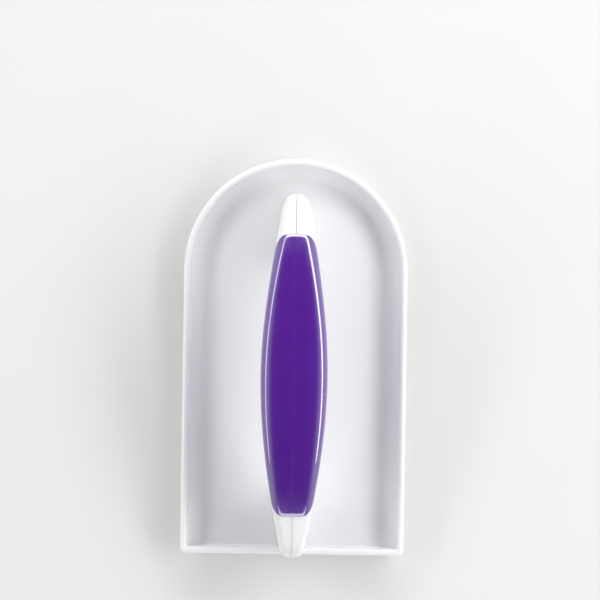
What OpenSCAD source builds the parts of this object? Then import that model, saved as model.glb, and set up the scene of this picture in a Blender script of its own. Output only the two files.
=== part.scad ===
// Icing smoother: a flat pressing plate with a turned-up edge, a hollow bow handle and a soft grip.
// Millimetres. X runs across the plate, Y along it towards the arched end, and Z up.
// The origin is the middle of the flat underside.

/* [Plate] */
// Width of the plate over its two long sides
plate_w = 82.5; // [72:0.5:96]
// Length of the plate from the square end to the top of the arch
plate_l = 146; // [140:0.5:170]
// Thickness of the floor, of the turned-up edge and of the end wall
plate_t = 2.4; // [1.8:0.1:3]
// Outer radius of the bend from the underside up to the edge
bend_r = 8.8; // [6:0.1:8.8]
// Height of the edge above the table
edge_h = 10.5; // [10.5:0.1:13]
// Radius of the two upright corners at the square end
corner_r = 2; // [1:0.1:3]

/* [Handle] */
// Length of the handle over both of its ends
handle_l = 132.6; // [126:0.2:138]
// Height of the top of the handle above the table
handle_h = 45; // [42:0.5:50]
// Width of the handle at its middle
handle_w = 24.2; // [22:0.1:28]
// Width of the leg at the arched end
arch_leg_w = 12.6; // [11:0.1:14]
// Width of the leg at the square end
square_leg_w = 10.2; // [9.6:0.1:13]
// How far the top line drops from the middle to the ends
top_fall = 20; // [16:0.5:24]
// Radius in side view where the top line turns down into the upright ends
end_r = 7; // [4:0.5:10]
// Wall of the two hollow halves
wall = 1.8; // [1.4:0.1:2.2]
// Gap along the seam between the two halves
seam_gap = 0.1; // [0.04:0.02:0.2]

/* [Finger gap] */
// Length of the gap under the handle
gap_l = 80; // [74:0.5:84]
// Height of the gap above the floor of the plate
gap_h = 24; // [22:0.5:26]
// How far the top of the gap drops from its middle to its ends
gap_fall = 4; // [2:0.5:6]
// Radius of the gap's two upper corners
gap_r = 16; // [12:0.5:18]

/* [Cross-sections] */
// Squareness of the top shoulders at the middle, where 2 is an ellipse
shoulder_n = 5.4; // [3:0.1:6.5]
// Squareness of the finger side at the middle
finger_n = 2.6; // [2:0.1:4]
// Squareness of the leg at the arched end
arch_leg_n = 2.5; // [2:0.1:4]
// Squareness of the leg at the square end
square_leg_n = 4.1; // [2.5:0.1:5]
// How soon the handle narrows towards the arched end, where more is sooner
arch_taper = 1.53; // [1.1:0.01:2]
// How soon the handle narrows towards the square end, where more is sooner
square_taper = 1.2; // [1:0.01:2]

/* [Grip] */
// Length of the grip, measured flat along the top
grip_l = 102; // [92:0.5:106]
// How far the middle of the grip lies from the middle of the handle, towards the arch
grip_shift = 0.5; // [-2:0.1:2]
// Thickness of the grip, which is let into the handle and lies flush
grip_t = 2.2; // [1.6:0.1:2.6]
// Clearance between the grip and the handle that it wraps
grip_fit = 0.05; // [0.02:0.01:0.2]
// Radius of the grip's corners at the arched end, seen from above
arch_corner = 3; // [1.5:0.1:4]
// Radius of the grip's corners at the square end, seen from above
square_corner = 4; // [1.5:0.1:4.5]

/* [Joining] */
// Thickness of the two tongues that stand on the plate
tongue_t = 2.4; // [1.6:0.1:2.8]
// Length of a tongue along the plate
tongue_l = 13; // [10:0.5:15]
// Height of a tongue above the floor
tongue_h = 12; // [11:0.5:13]
// Radius of a tongue's upper corners
tongue_r = 3; // [1:0.5:4]
// Distance from the end of the handle to the middle of its tongue
tongue_in = 13.5; // [12:0.5:15]
// Height of the eye in a tongue above the floor
eye_h = 7; // [6:0.5:8]
// Diameter of the pins that lock the halves together
pin_d = 4; // [3:0.1:4.4]
// Radial clearance round the pins
pin_fit = 0.1; // [0.05:0.01:0.2]
// How far a pin reaches into the other half
pin_reach = 3.4; // [2.6:0.1:3.6]
// Depth left free past the end of a pin
pin_spare = 0.3; // [0.1:0.1:0.4]
// Diameter of the bosses that carry the pins and sockets
boss_d = 8; // [7:0.1:8.6]
// Clearance between a boss and the side of a tongue
tongue_fit = 0.1; // [0.05:0.01:0.2]
// Clearance where the handle stands over the end wall
seat_fit = 0.1; // [0.05:0.01:0.2]
// Thickness of the cross ribs inside the halves
rib_t = 1.6; // [1:0.1:2]
// Angle between the middle of the handle and the outer pins, seen from the side
pin_turn = 42; // [36:1:46]
// Angle between the middle of the handle and the ribs, seen from the side
rib_turn = 21; // [16:1:26]

/* [Hidden] */
$fn = 96;
white = "#f2f2f4";
purple = "#4f1e8c";

// Places along the plate
plate_half = plate_w / 2;
square_end = -plate_l / 2;
arch_y = plate_l / 2 - plate_half;
handle_half = handle_l / 2;
handle_y = square_end + handle_half;
edge_upright = edge_h - plate_t / 2 - bend_r;

// A bow is an upright end, a corner arc and a top arc, seen from the side and measured from the middle
// of the handle at floor level: [half length, top radius, top centre, corner radius, corner centre,
// angle at which the corner starts, angle at which it ends].
function bow(half, top, fall, r) =
    let (
        top_r = (half * half + fall * fall) / (2 * fall),
        top_z = top - top_r,
        corner_z = top_z + sqrt(pow(top_r - r, 2) - pow(half - r, 2)),
        k = top_r / (top_r - r)
    )
    [half, top_r, top_z, r, corner_z, atan2(corner_z, half),
        atan2(top_z + k * (corner_z - top_z), k * (half - r))];
top_bow = bow(handle_half, handle_h - plate_t, top_fall, end_r);
gap_bow = bow(gap_l / 2, gap_h, gap_fall, gap_r);

// Distance from the middle to a circle, along a line that leaves the middle at an angle
function to_circle(y, z, r, angle) =
    let (d = y * cos(angle) + z * sin(angle))
    d + sqrt(max(0, d * d - y * y - z * z + r * r));

// Distance from the middle to a bow at a turn from 0, the arched end, to 180, the square end
function reach(b, turn) =
    let (angle = turn <= 90 ? turn : 180 - turn)
    angle <= b[5] ? b[0] / cos(angle)
    : angle <= b[6] ? to_circle(b[0] - b[3], b[4], b[3], angle)
    : to_circle(0, b[2], b[1], angle);

// The turn at which the top line is at a distance y along the handle
function turn_at(y) = atan2(top_bow[2] + sqrt(pow(top_bow[1], 2) - y * y), y);

// The handle's form: 0 in the upright ends and 1 in the middle
function fullness(turn) =
    let (y = reach(top_bow, turn) * cos(turn) / handle_half)
    pow(max(0, 1 - y * y), turn < 90 ? arch_taper : square_taper);
function end_w(turn) = turn < 90 ? arch_leg_w : square_leg_w;
function end_n(turn) = turn < 90 ? arch_leg_n : square_leg_n;
function half_w(turn) = (end_w(turn) + (handle_w - end_w(turn)) * fullness(turn)) / 2;
function squareness(turn, a) =
    end_n(turn) + ((a >= 0 ? shoulder_n : finger_n) - end_n(turn)) * fullness(turn);

// A point on the left side of the handle: a is -90 on the finger side, 0 on the flank and 90 on top,
// and inset is how deep the point lies under the surface.
function skin(turn, a, inset) =
    let (
        outer = reach(top_bow, turn),
        inner = reach(gap_bow, turn),
        power = 2 / squareness(turn, a),
        x = (half_w(turn) - inset) * pow(abs(cos(a)), power),
        u = ((outer - inner) / 2 - inset) * sign(a) * pow(abs(sin(a)), power),
        r = (outer + inner) / 2 + u
    )
    [-max(x, seam_gap / 2), handle_y + r * cos(turn), plate_t + r * sin(turn)];

// The grip's ends, with corners rounded as seen from above
function corner_cut(turn, a, r) =
    let (
        w = half_w(turn),
        over = max(0, w * pow(abs(cos(a)), 2 / squareness(turn, a)) - (w - r))
    )
    r - sqrt(r * r - over * over);
grip_arch_y = grip_shift + grip_l / 2;
grip_square_y = grip_shift - grip_l / 2;
function arch_turn(a) = turn_at(grip_arch_y - corner_cut(turn_at(grip_arch_y), a, arch_corner));
function square_turn(a) = turn_at(grip_square_y + corner_cut(turn_at(grip_square_y), a, square_corner));

// The turn at a place along the handle: a part, the span inside that part and a share of the span
ARCH_LEG = 1;
BAND = 0;
SQUARE_LEG = -1;
function leg_turn(span, share, last) =
    span == 0 ? share * top_bow[5]
    : span == 1 ? top_bow[5] + share * (top_bow[6] - top_bow[5])
    : top_bow[6] + share * (last - top_bow[6]);
function turn_of(part, span, share, a) =
    part == BAND ? arch_turn(a) + share * (square_turn(a) - arch_turn(a))
    : part == ARCH_LEG ? leg_turn(span, share, arch_turn(a))
    : 180 - leg_turn(span, share, 180 - square_turn(a));

// Rings along a half, each [part, span, share and inset outside, share and inset inside]
around = 12;
band_steps = 18;
recess = grip_t + grip_fit;
leg_top_l = reach(top_bow, top_bow[6]) * (turn_at(grip_arch_y) - top_bow[6]) * PI / 180;
step_back = 1 - wall / leg_top_l;
leg_rings = [
    for (share = [0, 1 / 3, 2 / 3]) [0, share, 0, share, wall],
    for (share = [0 : 0.25 : 1]) [1, share, 0, share, wall],
    for (share = [1 / 3, 2 / 3]) [2, share, 0, share, wall],
    [2, 1, 0, step_back, wall],
    [2, 1, recess, step_back, recess + wall]
];
rings = [
    for (r = leg_rings) concat([ARCH_LEG], r),
    for (i = [1 : band_steps - 1])
        [BAND, 0, i / band_steps, recess, i / band_steps, recess + wall],
    for (i = [len(leg_rings) - 1 : -1 : 0]) concat([SQUARE_LEG], leg_rings[i])
];
function ring_out(r) =
    [for (i = [0 : around]) let (a = 180 * i / around - 90) skin(turn_of(r[0], r[1], r[2], a), a, r[3])];
function ring_in(r) =
    [for (i = [around : -1 : 0]) let (a = 180 * i / around - 90) skin(turn_of(r[0], r[1], r[4], a), a, r[5])];

// Faces of a tube whose rings each have n points
function tube_sides(n, count) = [
    for (k = [0 : count - 2], i = [0 : n - 1])
        let (p = k * n + i, q = k * n + (i + 1) % n)
        each [[p, q, q + n], [p, q + n, p + n]]
];

// The left half's hollow skin, without what it carries
module half_skin() {
    n = 2 * around + 2;
    last = (len(rings) - 1) * n;
    caps = [
        for (i = [0 : around - 1])
            let (a = i, b = i + 1, c = n - 2 - i, d = n - 1 - i)
            each [[a, c, b], [a, d, c], [last + a, last + b, last + c], [last + a, last + c, last + d]]
    ];
    polyhedron([for (r = rings) each concat(ring_out(r), ring_in(r))],
        concat(tube_sides(n, len(rings)), caps), convexity = 8);
}

// A cross rib inside the left half
module rib(turn) {
    half_turn = rib_t / 2 / reach(gap_bow, turn) * 180 / PI;
    n = around + 1;
    web = [
        for (side = [-half_turn, half_turn], i = [0 : around])
            skin(turn + side, 180 * i / around - 90, recess + wall / 2)
    ];
    ends = [for (i = [1 : around - 1]) each [[0, i + 1, i], [n, n + i, n + i + 1]]];
    polyhedron(web, concat(tube_sides(n, 2), ends), convexity = 4);
}

// Pins: [place along the plate, height, depth of the boss, distance of its face from the seam plane]
function tongue_y(side) = handle_y + side * (handle_half - tongue_in);
function band_pin(turn) =
    let (r = (reach(top_bow, turn) + reach(gap_bow, turn)) / 2)
    [handle_y + r * cos(turn), plate_t + r * sin(turn), half_w(turn) - recess - wall / 2, seam_gap / 2];
function leg_pin(side) =
    let (w = half_w(side > 0 ? 0 : 180))
    [tongue_y(side), plate_t + eye_h, w - wall / 2, tongue_t / 2 + tongue_fit];
pins = [leg_pin(1), leg_pin(-1), band_pin(90), band_pin(90 - pin_turn), band_pin(90 + pin_turn)];

// A round bar along X from one place to another
module bar(p, d, from, to) {
    translate([from, p[0], p[1]]) rotate([0, 90, 0]) cylinder(d = d, h = to - from);
}

// What both halves have, drawn for the left one, and cut to stand over the end wall
module left_shell() {
    difference() {
        union() {
            half_skin();
            for (p = pins) bar(p, boss_d, -p[2], -p[3]);
            for (side = [-1, 1]) rib(90 + side * rib_turn);
        }
        translate([-plate_half, square_end - 1, 0])
            cube([plate_half, plate_t + seat_fit + 1, edge_h + seat_fit]);
    }
}

module handle_half_left() {
    color(white) union() {
        left_shell();
        for (p = pins) bar(p, pin_d, -p[3] - 1, pin_reach);
    }
}

module handle_half_right() {
    color(white) difference() {
        mirror([1, 0, 0]) left_shell();
        for (p = pins) bar(p, pin_d + 2 * pin_fit, 0, pin_reach + pin_spare);
    }
}

// The grip: a closed sleeve that fills the recess in both halves
module grip_sleeve() {
    n = 2 * around;
    function full_ring(share, inset) = [
        for (i = [0 : n - 1])
            let (
                a = 180 * i / around - 90,
                left = a <= 90,
                p = skin(turn_of(BAND, 0, share, left ? a : 180 - a), left ? a : 180 - a, inset)
            )
            [abs(abs(a) - 90) < 1 || a > 269 ? 0 : left ? p[0] : -p[0], p[1], p[2]]
    ];
    count = band_steps + 1;
    span = 1 - 2 * grip_fit / grip_l;
    shares = [for (i = [0 : band_steps]) 0.5 + span * (i / band_steps - 0.5)];
    outside = [for (s = shares) each full_ring(s, 0)];
    inside = [for (s = shares) each full_ring(s, grip_t)];
    flip = [for (f = tube_sides(n, count)) [f[0], f[2], f[1]] + n * count * [1, 1, 1]];
    last = n * (count - 1);
    ends = [
        for (i = [0 : n - 1])
            let (j = (i + 1) % n, m = n * count)
            each [[i, i + m, j + m], [i, j + m, j], [last + i, last + j + m, last + i + m],
                [last + i, last + j, last + j + m]]
    ];
    color(purple) polyhedron(concat(outside, inside), concat(tube_sides(n, count), flip, ends), convexity = 6);
}

// The turned-up edge on one side: floor from the middle, bend, upright and round rim
module edge_profile() {
    floor_w = plate_half - bend_r;
    square([floor_w, plate_t]);
    intersection() {
        translate([floor_w, bend_r]) difference() {
            circle(r = bend_r);
            circle(r = bend_r - plate_t);
        }
        translate([floor_w, 0]) square([bend_r, bend_r]);
    }
    translate([plate_half - plate_t, bend_r]) square([plate_t, edge_upright]);
    translate([plate_half - plate_t / 2, bend_r + edge_upright]) circle(d = plate_t);
}

// Half of the end wall's outline, which closes the edge profile
module wall_profile() {
    floor_w = plate_half - bend_r;
    square([floor_w, edge_h]);
    intersection() {
        translate([floor_w, bend_r]) circle(r = bend_r);
        translate([floor_w, 0]) square([bend_r, bend_r]);
    }
    translate([floor_w, bend_r]) square([bend_r, edge_h - bend_r]);
}

// A profile in X and Z, extruded along Y on both sides of the middle
module along(from, length) {
    for (side = [0, 1])
        mirror([side, 0, 0])
            translate([0, from + length, 0]) rotate([90, 0, 0]) linear_extrude(length) children();
}

module end_wall() {
    intersection() {
        along(square_end, plate_t) wall_profile();
        translate([-plate_half, square_end, 0]) union() {
            cube([plate_w, plate_t, edge_h - plate_t / 2]);
            translate([0, plate_t / 2, edge_h - plate_t / 2]) rotate([0, 90, 0]) cylinder(d = plate_t, h = plate_w);
        }
    }
}

module tongue(side) {
    translate([-tongue_t / 2, tongue_y(side), 0]) rotate([90, 0, 90]) linear_extrude(tongue_t)
        difference() {
            translate([-tongue_l / 2, plate_t / 2]) union() {
                square([tongue_l, plate_t / 2 + tongue_h - tongue_r]);
                translate([tongue_r, 0]) square([tongue_l - 2 * tongue_r, plate_t / 2 + tongue_h]);
                for (y = [tongue_r, tongue_l - tongue_r])
                    translate([y, plate_t / 2 + tongue_h - tongue_r]) circle(r = tongue_r);
            }
            translate([0, plate_t + eye_h]) circle(d = pin_d + 2 * pin_fit);
        }
}

module pressing_plate() {
    color(white) difference() {
        union() {
            along(square_end, arch_y - square_end) edge_profile();
            translate([0, arch_y, 0]) rotate_extrude(angle = 180) edge_profile();
            end_wall();
            for (side = [-1, 1]) tongue(side);
        }
        for (side = [0, 1]) mirror([side, 0, 0])
            translate([plate_half - corner_r, square_end + corner_r, -1]) difference() {
                translate([0, -corner_r - 1, 0]) cube([corner_r + 1, corner_r + 1, edge_h + 2]);
                cylinder(r = corner_r, h = edge_h + 2);
            }
    }
}

pressing_plate();
handle_half_left();
handle_half_right();
grip_sleeve();
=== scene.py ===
# Icing smoother: the looks. Metres, in the same frame as the part's source.
import math
import bmesh
import bpy
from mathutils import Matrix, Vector


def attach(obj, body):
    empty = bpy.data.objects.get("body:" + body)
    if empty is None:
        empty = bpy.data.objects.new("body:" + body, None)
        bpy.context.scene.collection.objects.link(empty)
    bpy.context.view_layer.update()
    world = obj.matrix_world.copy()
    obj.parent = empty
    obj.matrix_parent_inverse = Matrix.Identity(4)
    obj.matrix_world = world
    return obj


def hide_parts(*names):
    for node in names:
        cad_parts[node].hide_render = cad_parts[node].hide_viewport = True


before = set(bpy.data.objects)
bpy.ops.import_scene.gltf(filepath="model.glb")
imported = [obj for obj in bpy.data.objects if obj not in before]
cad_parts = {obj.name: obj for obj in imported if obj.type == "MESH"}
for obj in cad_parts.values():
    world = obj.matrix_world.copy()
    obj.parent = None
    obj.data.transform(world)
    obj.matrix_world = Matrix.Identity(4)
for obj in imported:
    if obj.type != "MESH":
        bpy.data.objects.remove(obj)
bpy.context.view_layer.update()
MM = 0.001
QUARTER = math.pi / 2

# The part's own sizes, as in its source
plate_w = 82.5 * MM
plate_l = 146 * MM
plate_t = 2.4 * MM
bend_r = 8.8 * MM
edge_h = 10.5 * MM
corner_r = 2 * MM
handle_l = 132.6 * MM
handle_h = 45 * MM
handle_w = 24.2 * MM
arch_leg_w = 12.6 * MM
square_leg_w = 10.2 * MM
top_fall = 20 * MM
end_r = 7 * MM
gap_l = 80 * MM
gap_h = 24 * MM
gap_fall = 4 * MM
gap_r = 16 * MM
shoulder_n = 5.4
finger_n = 2.6
arch_leg_n = 2.5
square_leg_n = 4.1
arch_taper = 1.53
square_taper = 1.2
grip_l = 102 * MM
grip_shift = 0.5 * MM
arch_corner = 3 * MM
square_corner = 4 * MM

# The seam between the halves. A lip is the width over which a half rolls into it, and lip_turn_r
# is the radius that turns that width into an angle.
arch_lip = 0.34 * MM
square_lip = 0.07 * MM
lip_turn_r = 6 * MM
lip_fall = 0.8
seam_share = 0.3
seam_depth = 1.2 * MM

# The recess between the grip and the legs, and the moulding line along the grip
grip_gap = 0.04 * MM
edge_round = 0.12 * MM
edge_depth = 1.0 * MM
grip_lip = 0.30 * MM
grip_line_depth = 0.10 * MM
grip_line_curve = 0.7

# Small rounds of the plate, and how far the leg's skin reaches into the end wall
end_edge_r = 0.4 * MM
foot_r = 0.8 * MM
wall_overlap = 0.3 * MM

# How finely the handle and the grip are divided
AROUND = 72
LIP_STEPS = 4
FOOT_ROWS = 14
BEND_ROWS = 12
LEG_ROWS = 18
EDGE_STEPS = 3
GRIP_RINGS = 110

# How finely the plate is divided
ROUND_STEPS = 24
RIM_STEPS = 16
SIDE_STEPS = 12
ARCH_STEPS = 96
CORNER_STEPS = 8
END_STEPS = 8

# Places worked out from the sizes
handle_half = handle_l / 2
square_end = -plate_l / 2
arch_y = plate_l / 2 - plate_w / 2
handle_y = square_end + handle_half
grip_arch_y = grip_shift + grip_l / 2
grip_square_y = grip_shift - grip_l / 2


# The handle's form, as in the source
def bow(half, top, fall, r):
    """A bow seen from the side: a wide arc on top, and two corners of radius r above upright ends."""
    top_r = (half * half + fall * fall) / (2 * fall)
    top_z = top - top_r
    corner_z = top_z + math.sqrt((top_r - r) ** 2 - (half - r) ** 2)
    k = top_r / (top_r - r)
    return {
        "half": half,
        "top_r": top_r,
        "top_z": top_z,
        "r": r,
        "corner_z": corner_z,
        "start": math.atan2(corner_z, half),
        "end": math.atan2(top_z + k * (corner_z - top_z), k * (half - r)),
    }


top_bow = bow(handle_half, handle_h - plate_t, top_fall, end_r)
gap_bow = bow(gap_l / 2, gap_h, gap_fall, gap_r)


def to_circle(y, z, r, angle):
    """Distance from the handle's centre to the far side of a circle round (y, z)."""
    d = y * math.cos(angle) + z * math.sin(angle)
    return d + math.sqrt(max(0.0, d * d - y * y - z * z + r * r))


def reach(b, turn):
    """Distance from the handle's centre to a bow. Turn runs from 0 at the arched end to pi."""
    angle = turn if turn <= QUARTER else math.pi - turn
    if angle <= b["start"]:
        return b["half"] / math.cos(angle)
    if angle <= b["end"]:
        return to_circle(b["half"] - b["r"], b["corner_z"], b["r"], angle)
    return to_circle(0, b["top_z"], b["top_r"], angle)


def turn_at(y):
    return math.atan2(top_bow["top_z"] + math.sqrt(top_bow["top_r"] ** 2 - y * y), y)


def fullness(turn):
    """From 1 at the middle of the handle down to 0 at its ends."""
    y = reach(top_bow, turn) * math.cos(turn) / handle_half
    return max(0.0, 1 - y * y) ** (arch_taper if turn < QUARTER else square_taper)


def half_width(turn):
    end_w = arch_leg_w if turn < QUARTER else square_leg_w
    return (end_w + (handle_w - end_w) * fullness(turn)) / 2


def squareness(turn, phi):
    end_n = arch_leg_n if turn < QUARTER else square_leg_n
    return end_n + ((shoulder_n if phi >= 0 else finger_n) - end_n) * fullness(turn)


def out_from_seam(turn, phi):
    """Distance from the seam plane of the surface at an angle phi round the cross-section."""
    n = squareness(turn, phi)
    c = max(0.0, math.cos(phi))
    s = abs(math.sin(phi))
    return half_width(turn) * c * (c ** n + s ** n) ** (-1 / n)


def surface(turn, phi, inset=0.0):
    """A point of the handle: phi is -90 degrees on the finger side, 0 on the flank and 90 on top."""
    outer = reach(top_bow, turn)
    inner = reach(gap_bow, turn)
    n = squareness(turn, phi)
    c = max(0.0, math.cos(phi))
    s = math.sin(phi)
    rho = (c ** n + abs(s) ** n) ** (-1 / n)
    x = (half_width(turn) - inset) * rho * c
    r = (outer + inner) / 2 + ((outer - inner) / 2 - inset) * rho * s
    return x, r


def corner_cut(turn, phi, r):
    """How far a rounded corner of the grip, of radius r, stays back from the grip's end."""
    over = min(r, max(0.0, out_from_seam(turn, phi) - (half_width(turn) - r)))
    return r - math.sqrt(r * r - over * over)


def arch_turn(phi):
    return turn_at(grip_arch_y - corner_cut(turn_at(grip_arch_y), phi, arch_corner))


def square_turn(phi):
    return turn_at(grip_square_y + corner_cut(turn_at(grip_square_y), phi, square_corner))


def place(x, r, turn):
    return (x, handle_y + r * math.cos(turn), plate_t + r * math.sin(turn))


# Meshes
def new_object(name, bm, smooth_angle=35):
    bmesh.ops.recalc_face_normals(bm, faces=bm.faces[:])
    mesh = bpy.data.meshes.new(name)
    bm.to_mesh(mesh)
    bm.free()
    mesh.shade_smooth()
    mesh.set_sharp_from_angle(angle=math.radians(smooth_angle))
    obj = bpy.data.objects.new(name, mesh)
    bpy.context.scene.collection.objects.link(obj)
    return obj


def skin_between(bm, rows, closed):
    """Quads between rows of points."""
    grid = [[bm.verts.new(p) for p in row] for row in rows]
    for low, high in zip(grid, grid[1:]):
        count = len(low)
        for i in range(count if closed else count - 1):
            j = (i + 1) % count
            bm.faces.new((low[i], low[j], high[j], high[i]))
    return grid


def seam_edge(end, turn_for, inset, lip, mirror):
    """The edge that rolls into the seam and then goes straight in: end is -1 underneath and 1 on top."""
    gap = lip * seam_share / 2
    phi = end * (QUARTER - lip / lip_turn_r)
    turn = turn_for(phi)
    x, r = surface(turn, phi, inset)
    width = x - gap
    points = []
    for k in range(1, LIP_STEPS + 1):
        a = QUARTER * k / LIP_STEPS
        fall = width * lip_fall * (1 - math.cos(a))
        points.append(place(mirror * (x - width * math.sin(a)), r - end * fall, turn))
    points.append(place(mirror * gap, r - end * seam_depth, turn))
    return points


def half_row(turn_for, inset, lip, mirror):
    """One row of a handle half, from the seam underneath over the flank to the seam on top."""
    gap = lip * seam_share / 2
    limit = QUARTER - lip / lip_turn_r
    flank = []
    for i in range(AROUND + 1):
        phi = -limit + 2 * limit * i / AROUND
        turn = turn_for(phi)
        x, r = surface(turn, phi, inset)
        flank.append(place(mirror * max(x, gap), r, turn))
    under = seam_edge(-1, turn_for, inset, lip, mirror)
    over = seam_edge(1, turn_for, inset, lip, mirror)
    return under[::-1] + flank + over


def leg_rows(side, lip, mirror):
    """Rows of one leg of a handle half, from the floor to the edge of the grip."""
    start = top_bow["start"]
    end = top_bow["end"]
    far = reach(top_bow, arch_turn(QUARTER))

    def turned(angle):
        return angle if side > 0 else math.pi - angle

    def fixed(angle):
        return lambda phi: turned(angle)

    def towards_grip(share, back):
        def turn_for(phi):
            last = arch_turn(phi) if side > 0 else math.pi - square_turn(phi)
            return turned(end + share * (last - back - end))
        return turn_for

    angles = [start * i / FOOT_ROWS for i in range(FOOT_ROWS)]
    angles += [start + (end - start) * i / BEND_ROWS for i in range(BEND_ROWS)]
    rows = [half_row(fixed(angle), 0.0, lip, mirror) for angle in angles]
    for i in range(LEG_ROWS):
        rows.append(half_row(towards_grip(i / LEG_ROWS, edge_round / far), 0.0, lip, mirror))
    for k in range(EDGE_STEPS + 1):
        a = QUARTER * k / EDGE_STEPS
        back = edge_round * (1 - math.sin(a)) / far
        inset = edge_round * (1 - math.cos(a))
        rows.append(half_row(towards_grip(1.0, back), inset, lip, mirror))
    rows.append(half_row(towards_grip(1.0, 0.0), edge_depth, lip, mirror))
    return rows


def stand_over_wall(bm):
    """Cuts the leg a little inside the rounded rim and the end wall of the plate, so that no gap shows."""
    z = edge_h - plate_t / 2
    y = square_end + plate_t - wall_overlap
    for point, normal in (((0, 0, z), (0, 0, 1)), ((0, y, 0), (0, 1, 0))):
        geom = bm.verts[:] + bm.edges[:] + bm.faces[:]
        bmesh.ops.bisect_plane(bm, geom=geom, plane_co=point, plane_no=normal)
    under = [f for f in bm.faces if f.calc_center_median().z < z and f.calc_center_median().y < y]
    bmesh.ops.delete(bm, geom=under, context="FACES")


def handle_half_piece(name, mirror):
    bm = bmesh.new()
    skin_between(bm, leg_rows(-1, square_lip, mirror), False)
    stand_over_wall(bm)
    skin_between(bm, leg_rows(1, arch_lip, mirror), False)
    return new_object(name, bm)


def grip_row(share, inset):
    """One closed row of the grip, with a shallow moulding line on top and underneath."""
    row = []
    count = AROUND * 2
    for i in range(count):
        a = -QUARTER + 2 * math.pi * i / count
        left = a <= QUARTER
        phi = a if left else math.pi - a
        start = arch_turn(phi)
        turn = start + share * (square_turn(phi) - start)
        x, r = surface(turn, phi, inset)
        if x < grip_lip:
            dip = grip_line_depth * (1 - x / grip_lip) ** grip_line_curve
            r -= math.copysign(dip, phi)
        row.append(place(-x if left else x, r, turn))
    return row


def grip_piece():
    bm = bmesh.new()
    span = square_turn(QUARTER) - arch_turn(QUARTER)
    far = reach(top_bow, arch_turn(QUARTER))
    step = edge_round / far / span
    gap = grip_gap / far / span
    ends = [(gap, edge_depth)]
    for k in range(EDGE_STEPS + 1):
        a = QUARTER * k / EDGE_STEPS
        ends.append((gap + step * (1 - math.cos(a)), edge_round * (1 - math.sin(a))))
    between = 1 - 2 * gap - 2 * step
    middle = [(gap + step + between * i / GRIP_RINGS, 0.0) for i in range(1, GRIP_RINGS)]
    rings = ends + middle + [(1 - share, inset) for share, inset in ends[::-1]]
    skin_between(bm, [grip_row(share, inset) for share, inset in rings], True)
    return new_object("soft_grip", bm)


def fillet(r, above):
    """How far a foot of radius r stands out at a height above its flat."""
    if above >= r:
        return 0.0
    return r - math.sqrt(max(0.0, r * r - (r - above) ** 2))


def plate_rings():
    """Rings of the plate from the underside over the rim to the floor, each as plan_loop takes it."""
    rings = [(bend_r + MM, end_edge_r + MM, end_edge_r, end_edge_r, 0.0)]
    for i in range(ROUND_STEPS + 1):
        a = QUARTER * i / ROUND_STEPS
        z = bend_r * (1 - math.cos(a))
        side = bend_r * (1 - math.sin(a))
        corner = max(end_edge_r, corner_r - side)
        rings.append((side, fillet(end_edge_r, z), corner, corner, z))
    rim_r = plate_t / 2
    for i in range(RIM_STEPS + 1):
        a = math.pi * i / RIM_STEPS
        inward = rim_r * (1 - math.cos(a))
        corner = max(foot_r, corner_r - inward)
        rings.append((inward, inward, corner, corner, edge_h - rim_r + rim_r * math.sin(a)))
    cove_r = bend_r - plate_t
    for i in range(ROUND_STEPS + 1):
        a = QUARTER * i / ROUND_STEPS
        z = bend_r - cove_r * math.sin(a)
        side = plate_t + cove_r * (1 - math.cos(a))
        end = plate_t + fillet(foot_r, z - plate_t)
        rings.append((side, end, foot_r, foot_r, z))
    rings.append((bend_r + MM, plate_t + foot_r + MM, foot_r, foot_r, plate_t))
    return rings


def plan_loop(side, end, corner_x, corner_y, z):
    """One closed ring, set in from the sides and the square end, with its corner's reach in x and y.

    It runs up the right side, round the arch, down the left side and along the square end.
    """
    half = plate_w / 2 - side
    low = square_end + end
    points = []
    for i in range(SIDE_STEPS):
        points.append((half, low + corner_y + (arch_y - low - corner_y) * i / SIDE_STEPS, z))
    for i in range(ARCH_STEPS):
        a = math.pi * i / ARCH_STEPS
        points.append((half * math.cos(a), arch_y + half * math.sin(a), z))
    for i in range(SIDE_STEPS):
        points.append((-half, arch_y + (low + corner_y - arch_y) * i / SIDE_STEPS, z))
    for i in range(CORNER_STEPS):
        a = QUARTER * i / CORNER_STEPS
        x = -half + corner_x * (1 - math.cos(a))
        points.append((x, low + corner_y * (1 - math.sin(a)), z))
    for i in range(END_STEPS):
        points.append((-half + corner_x + 2 * (half - corner_x) * i / END_STEPS, low, z))
    for i in range(CORNER_STEPS):
        a = QUARTER * i / CORNER_STEPS
        x = half - corner_x * (1 - math.sin(a))
        points.append((x, low + corner_y * (1 - math.cos(a)), z))
    return points


def plate_piece():
    bm = bmesh.new()
    grid = skin_between(bm, [plan_loop(*ring) for ring in plate_rings()], True)
    bm.faces.new(grid[0][::-1])
    bm.faces.new(grid[-1])
    return new_object("plate", bm, 40)


# Materials. Noise scales are per metre, since the coordinates are the object's own.
def shader(name):
    material = bpy.data.materials.new(name)
    material.use_nodes = True
    tree = material.node_tree
    principled = next(n for n in tree.nodes if n.type == "BSDF_PRINCIPLED")
    return material, tree, principled


def noise(tree, scale, detail, rough=0.5, stretch=(1, 1, 1)):
    coords = tree.nodes.new("ShaderNodeTexCoord")
    mapping = tree.nodes.new("ShaderNodeMapping")
    mapping.inputs["Scale"].default_value = stretch
    node = tree.nodes.new("ShaderNodeTexNoise")
    node.inputs["Scale"].default_value = scale
    node.inputs["Detail"].default_value = detail
    node.inputs["Roughness"].default_value = rough
    tree.links.new(coords.outputs["Object"], mapping.inputs["Vector"])
    tree.links.new(mapping.outputs["Vector"], node.inputs["Vector"])
    return node.outputs["Fac"]


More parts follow.
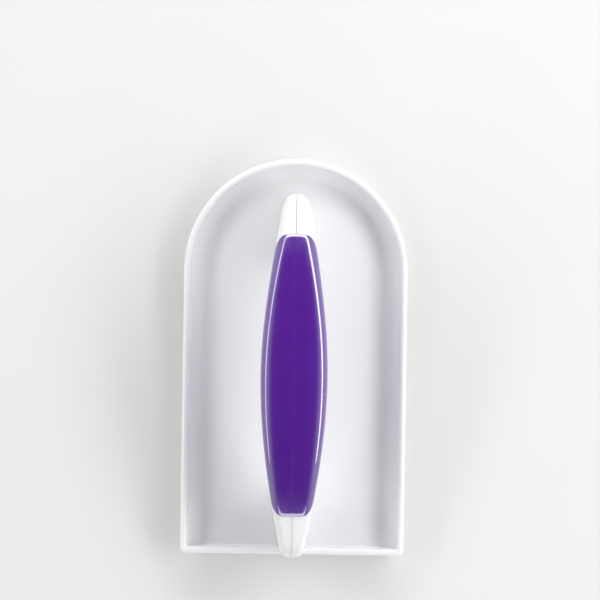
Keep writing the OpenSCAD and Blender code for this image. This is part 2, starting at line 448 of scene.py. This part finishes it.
def spread(tree, value, low, high, to_low, to_high):
    node = tree.nodes.new("ShaderNodeMapRange")
    node.inputs["From Min"].default_value = low
    node.inputs["From Max"].default_value = high
    node.inputs["To Min"].default_value = to_low
    node.inputs["To Max"].default_value = to_high
    tree.links.new(value, node.inputs["Value"])
    return node.outputs["Result"]


def bumped(tree, height, strength, distance, before=None):
    node = tree.nodes.new("ShaderNodeBump")
    node.inputs["Strength"].default_value = strength
    node.inputs["Distance"].default_value = distance
    tree.links.new(height, node.inputs["Height"])
    if before:
        tree.links.new(before, node.inputs["Normal"])
    return node.outputs["Normal"]


def tinted(tree, value, low, high):
    node = tree.nodes.new("ShaderNodeValToRGB")
    node.color_ramp.elements[0].color = (*low, 1)
    node.color_ramp.elements[1].color = (*high, 1)
    node.color_ramp.elements[0].position = 0.3
    node.color_ramp.elements[1].position = 0.7
    tree.links.new(value, node.inputs["Fac"])
    return node.outputs["Color"]


def white_plastic():
    """Glossy moulded white that lets a little light through."""
    material, tree, principled = shader("white_plastic")
    principled.inputs["IOR"].default_value = 1.49
    principled.inputs["Subsurface Weight"].default_value = 0.35
    principled.inputs["Subsurface Radius"].default_value = (0.003, 0.003, 0.003)
    principled.inputs["Subsurface Scale"].default_value = 1.0
    tint = tinted(tree, noise(tree, 45, 3), (0.845, 0.847, 0.858), (0.853, 0.855, 0.866))
    tree.links.new(tint, principled.inputs["Base Color"])
    scuffs = spread(tree, noise(tree, 90, 2), 0.3, 0.7, 0.24, 0.27)
    tree.links.new(scuffs, principled.inputs["Roughness"])
    grain = bumped(tree, noise(tree, 2600, 3), 0.02, 0.00002)
    waves = bumped(tree, noise(tree, 40, 1), 0.02, 0.0002, grain)
    tree.links.new(waves, principled.inputs["Normal"])
    return material


def purple_grip():
    """Soft deep purple under a clear gloss, with faint rubbed streaks along the grip."""
    material, tree, principled = shader("purple_grip")
    principled.inputs["IOR"].default_value = 1.6
    principled.inputs["Coat Weight"].default_value = 1.0
    principled.inputs["Coat IOR"].default_value = 1.95
    principled.inputs["Coat Roughness"].default_value = 0.06
    tint = tinted(tree, noise(tree, 60, 3), (0.074, 0.0052, 0.258), (0.085, 0.0070, 0.280))
    tree.links.new(tint, principled.inputs["Base Color"])
    scuffs = spread(tree, noise(tree, 320, 5, 0.6, (1, 0.3, 1)), 0.35, 0.7, 0.16, 0.26)
    tree.links.new(scuffs, principled.inputs["Roughness"])
    grain = bumped(tree, noise(tree, 3200, 3), 0.10, 0.00002)
    waves = bumped(tree, noise(tree, 60, 2), 0.06, 0.0002, grain)
    tree.links.new(waves, principled.inputs["Normal"])
    return material


def pale_floor():
    """Matt, with a faint grain."""
    material, tree, principled = shader("pale_floor")
    principled.inputs["Specular IOR Level"].default_value = 0.2
    tint = tinted(tree, noise(tree, 8, 2), (0.755, 0.75, 0.735), (0.775, 0.77, 0.755))
    tree.links.new(tint, principled.inputs["Base Color"])
    patches = spread(tree, noise(tree, 900, 3), 0.3, 0.7, 0.5, 0.6)
    tree.links.new(patches, principled.inputs["Roughness"])
    grain = bumped(tree, noise(tree, 1500, 3), 0.1, 0.00003)
    tree.links.new(grain, principled.inputs["Normal"])
    return material


# The pieces
def dress(obj, node, material):
    obj.data.materials.clear()
    obj.data.materials.append(material)
    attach(obj, "root")
    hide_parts(node)


white = white_plastic()
purple = purple_grip()
dress(plate_piece(), "pressing_plate", white)
dress(handle_half_piece("handle_left", -1), "handle_half_left", white)
dress(handle_half_piece("handle_right", 1), "handle_half_right", white)
dress(grip_piece(), "grip_sleeve", purple)


# The floor, which lies just below the underside
FLOOR_HALF = 2.5
FLOOR_Z = -0.00005


def floor():
    bm = bmesh.new()
    bmesh.ops.create_grid(bm, x_segments=4, y_segments=4, size=FLOOR_HALF)
    obj = new_object("floor", bm)
    obj.location = (0, 0, FLOOR_Z)
    obj.data.materials.append(pale_floor())


floor()

# Lamps. The two long ones give the lines of light along the grip's shoulders.
AIM = Vector((0, 0, 0.02))
LONG = 2.2
SHORT = 0.9


def lamp(name, place_at, height, length, power):
    """A rectangular lamp that faces the object, with its long side level."""
    data = bpy.data.lights.new(name, "AREA")
    data.shape = "RECTANGLE"
    data.size = length
    data.size_y = height
    data.energy = power
    obj = bpy.data.objects.new(name, data)
    obj.location = place_at
    obj.rotation_euler = (obj.location - AIM).to_track_quat("Z", "Y").to_euler()
    bpy.context.scene.collection.objects.link(obj)


lamp("softbox_right", (0.85, 0.25, 0.66), 0.27, LONG, 11.2)
lamp("softbox_left", (-0.85, 0.25, 0.66), 0.14, LONG, 4.5)
lamp("softbox_far", (0.0, 1.05, 0.55), 0.3, SHORT, 5.2)
lamp("softbox_near", (0.0, -1.05, 0.55), 0.3, SHORT, 2.8)

# Brightness of the room, by how far sideways one looks: 0 is up, far or near, and 1 is left or right
ROOM_LEVELS = ((0.0, 0.06), (0.3, 0.11), (0.5, 0.58), (0.7, 0.94), (1.0, 0.94))
ROOM_TINT = (0.98, 0.985, 1.0)


def studio_world():
    """A room that is pale on the left and right and dark above, so that gloss on top stays deep."""
    world = bpy.data.worlds.new("studio")
    world.use_nodes = True
    bpy.context.scene.world = world
    tree = world.node_tree
    background = next(n for n in tree.nodes if n.type == "BACKGROUND")
    coords = tree.nodes.new("ShaderNodeTexCoord")
    split = tree.nodes.new("ShaderNodeSeparateXYZ")
    sideways = tree.nodes.new("ShaderNodeMath")
    sideways.operation = "ABSOLUTE"
    ramp = tree.nodes.new("ShaderNodeValToRGB")
    tree.links.new(coords.outputs["Generated"], split.inputs["Vector"])
    tree.links.new(split.outputs["X"], sideways.inputs[0])
    tree.links.new(sideways.outputs["Value"], ramp.inputs["Fac"])
    tree.links.new(ramp.outputs["Color"], background.inputs["Color"])
    stops = ramp.color_ramp.elements
    while len(stops) < len(ROOM_LEVELS):
        stops.new(0.5)
    for stop, (sideways_share, level) in zip(stops, ROOM_LEVELS):
        stop.position = sideways_share
        stop.color = (*(level * part for part in ROOM_TINT), 1)
    background.inputs["Strength"].default_value = 1.0


studio_world()

# The camera looks straight down from 1 m, turned a little, as in the photograph
CAMERA_PLACE = (1.7 * MM, 20.95 * MM, 1.0)
CAMERA_ROLL = math.radians(0.87)
CAMERA_LENS = 160.9
CAMERA_SENSOR = 36
CAMERA_REACH = 20


def camera():
    data = bpy.data.cameras.new("camera")
    data.sensor_width = CAMERA_SENSOR
    data.lens = CAMERA_LENS
    data.clip_end = CAMERA_REACH
    obj = bpy.data.objects.new("camera", data)
    obj.location = CAMERA_PLACE
    obj.rotation_euler = (0, 0, CAMERA_ROLL)
    bpy.context.scene.collection.objects.link(obj)
    bpy.context.scene.camera = obj


camera()
bpy.context.scene.view_settings.view_transform = "Standard"
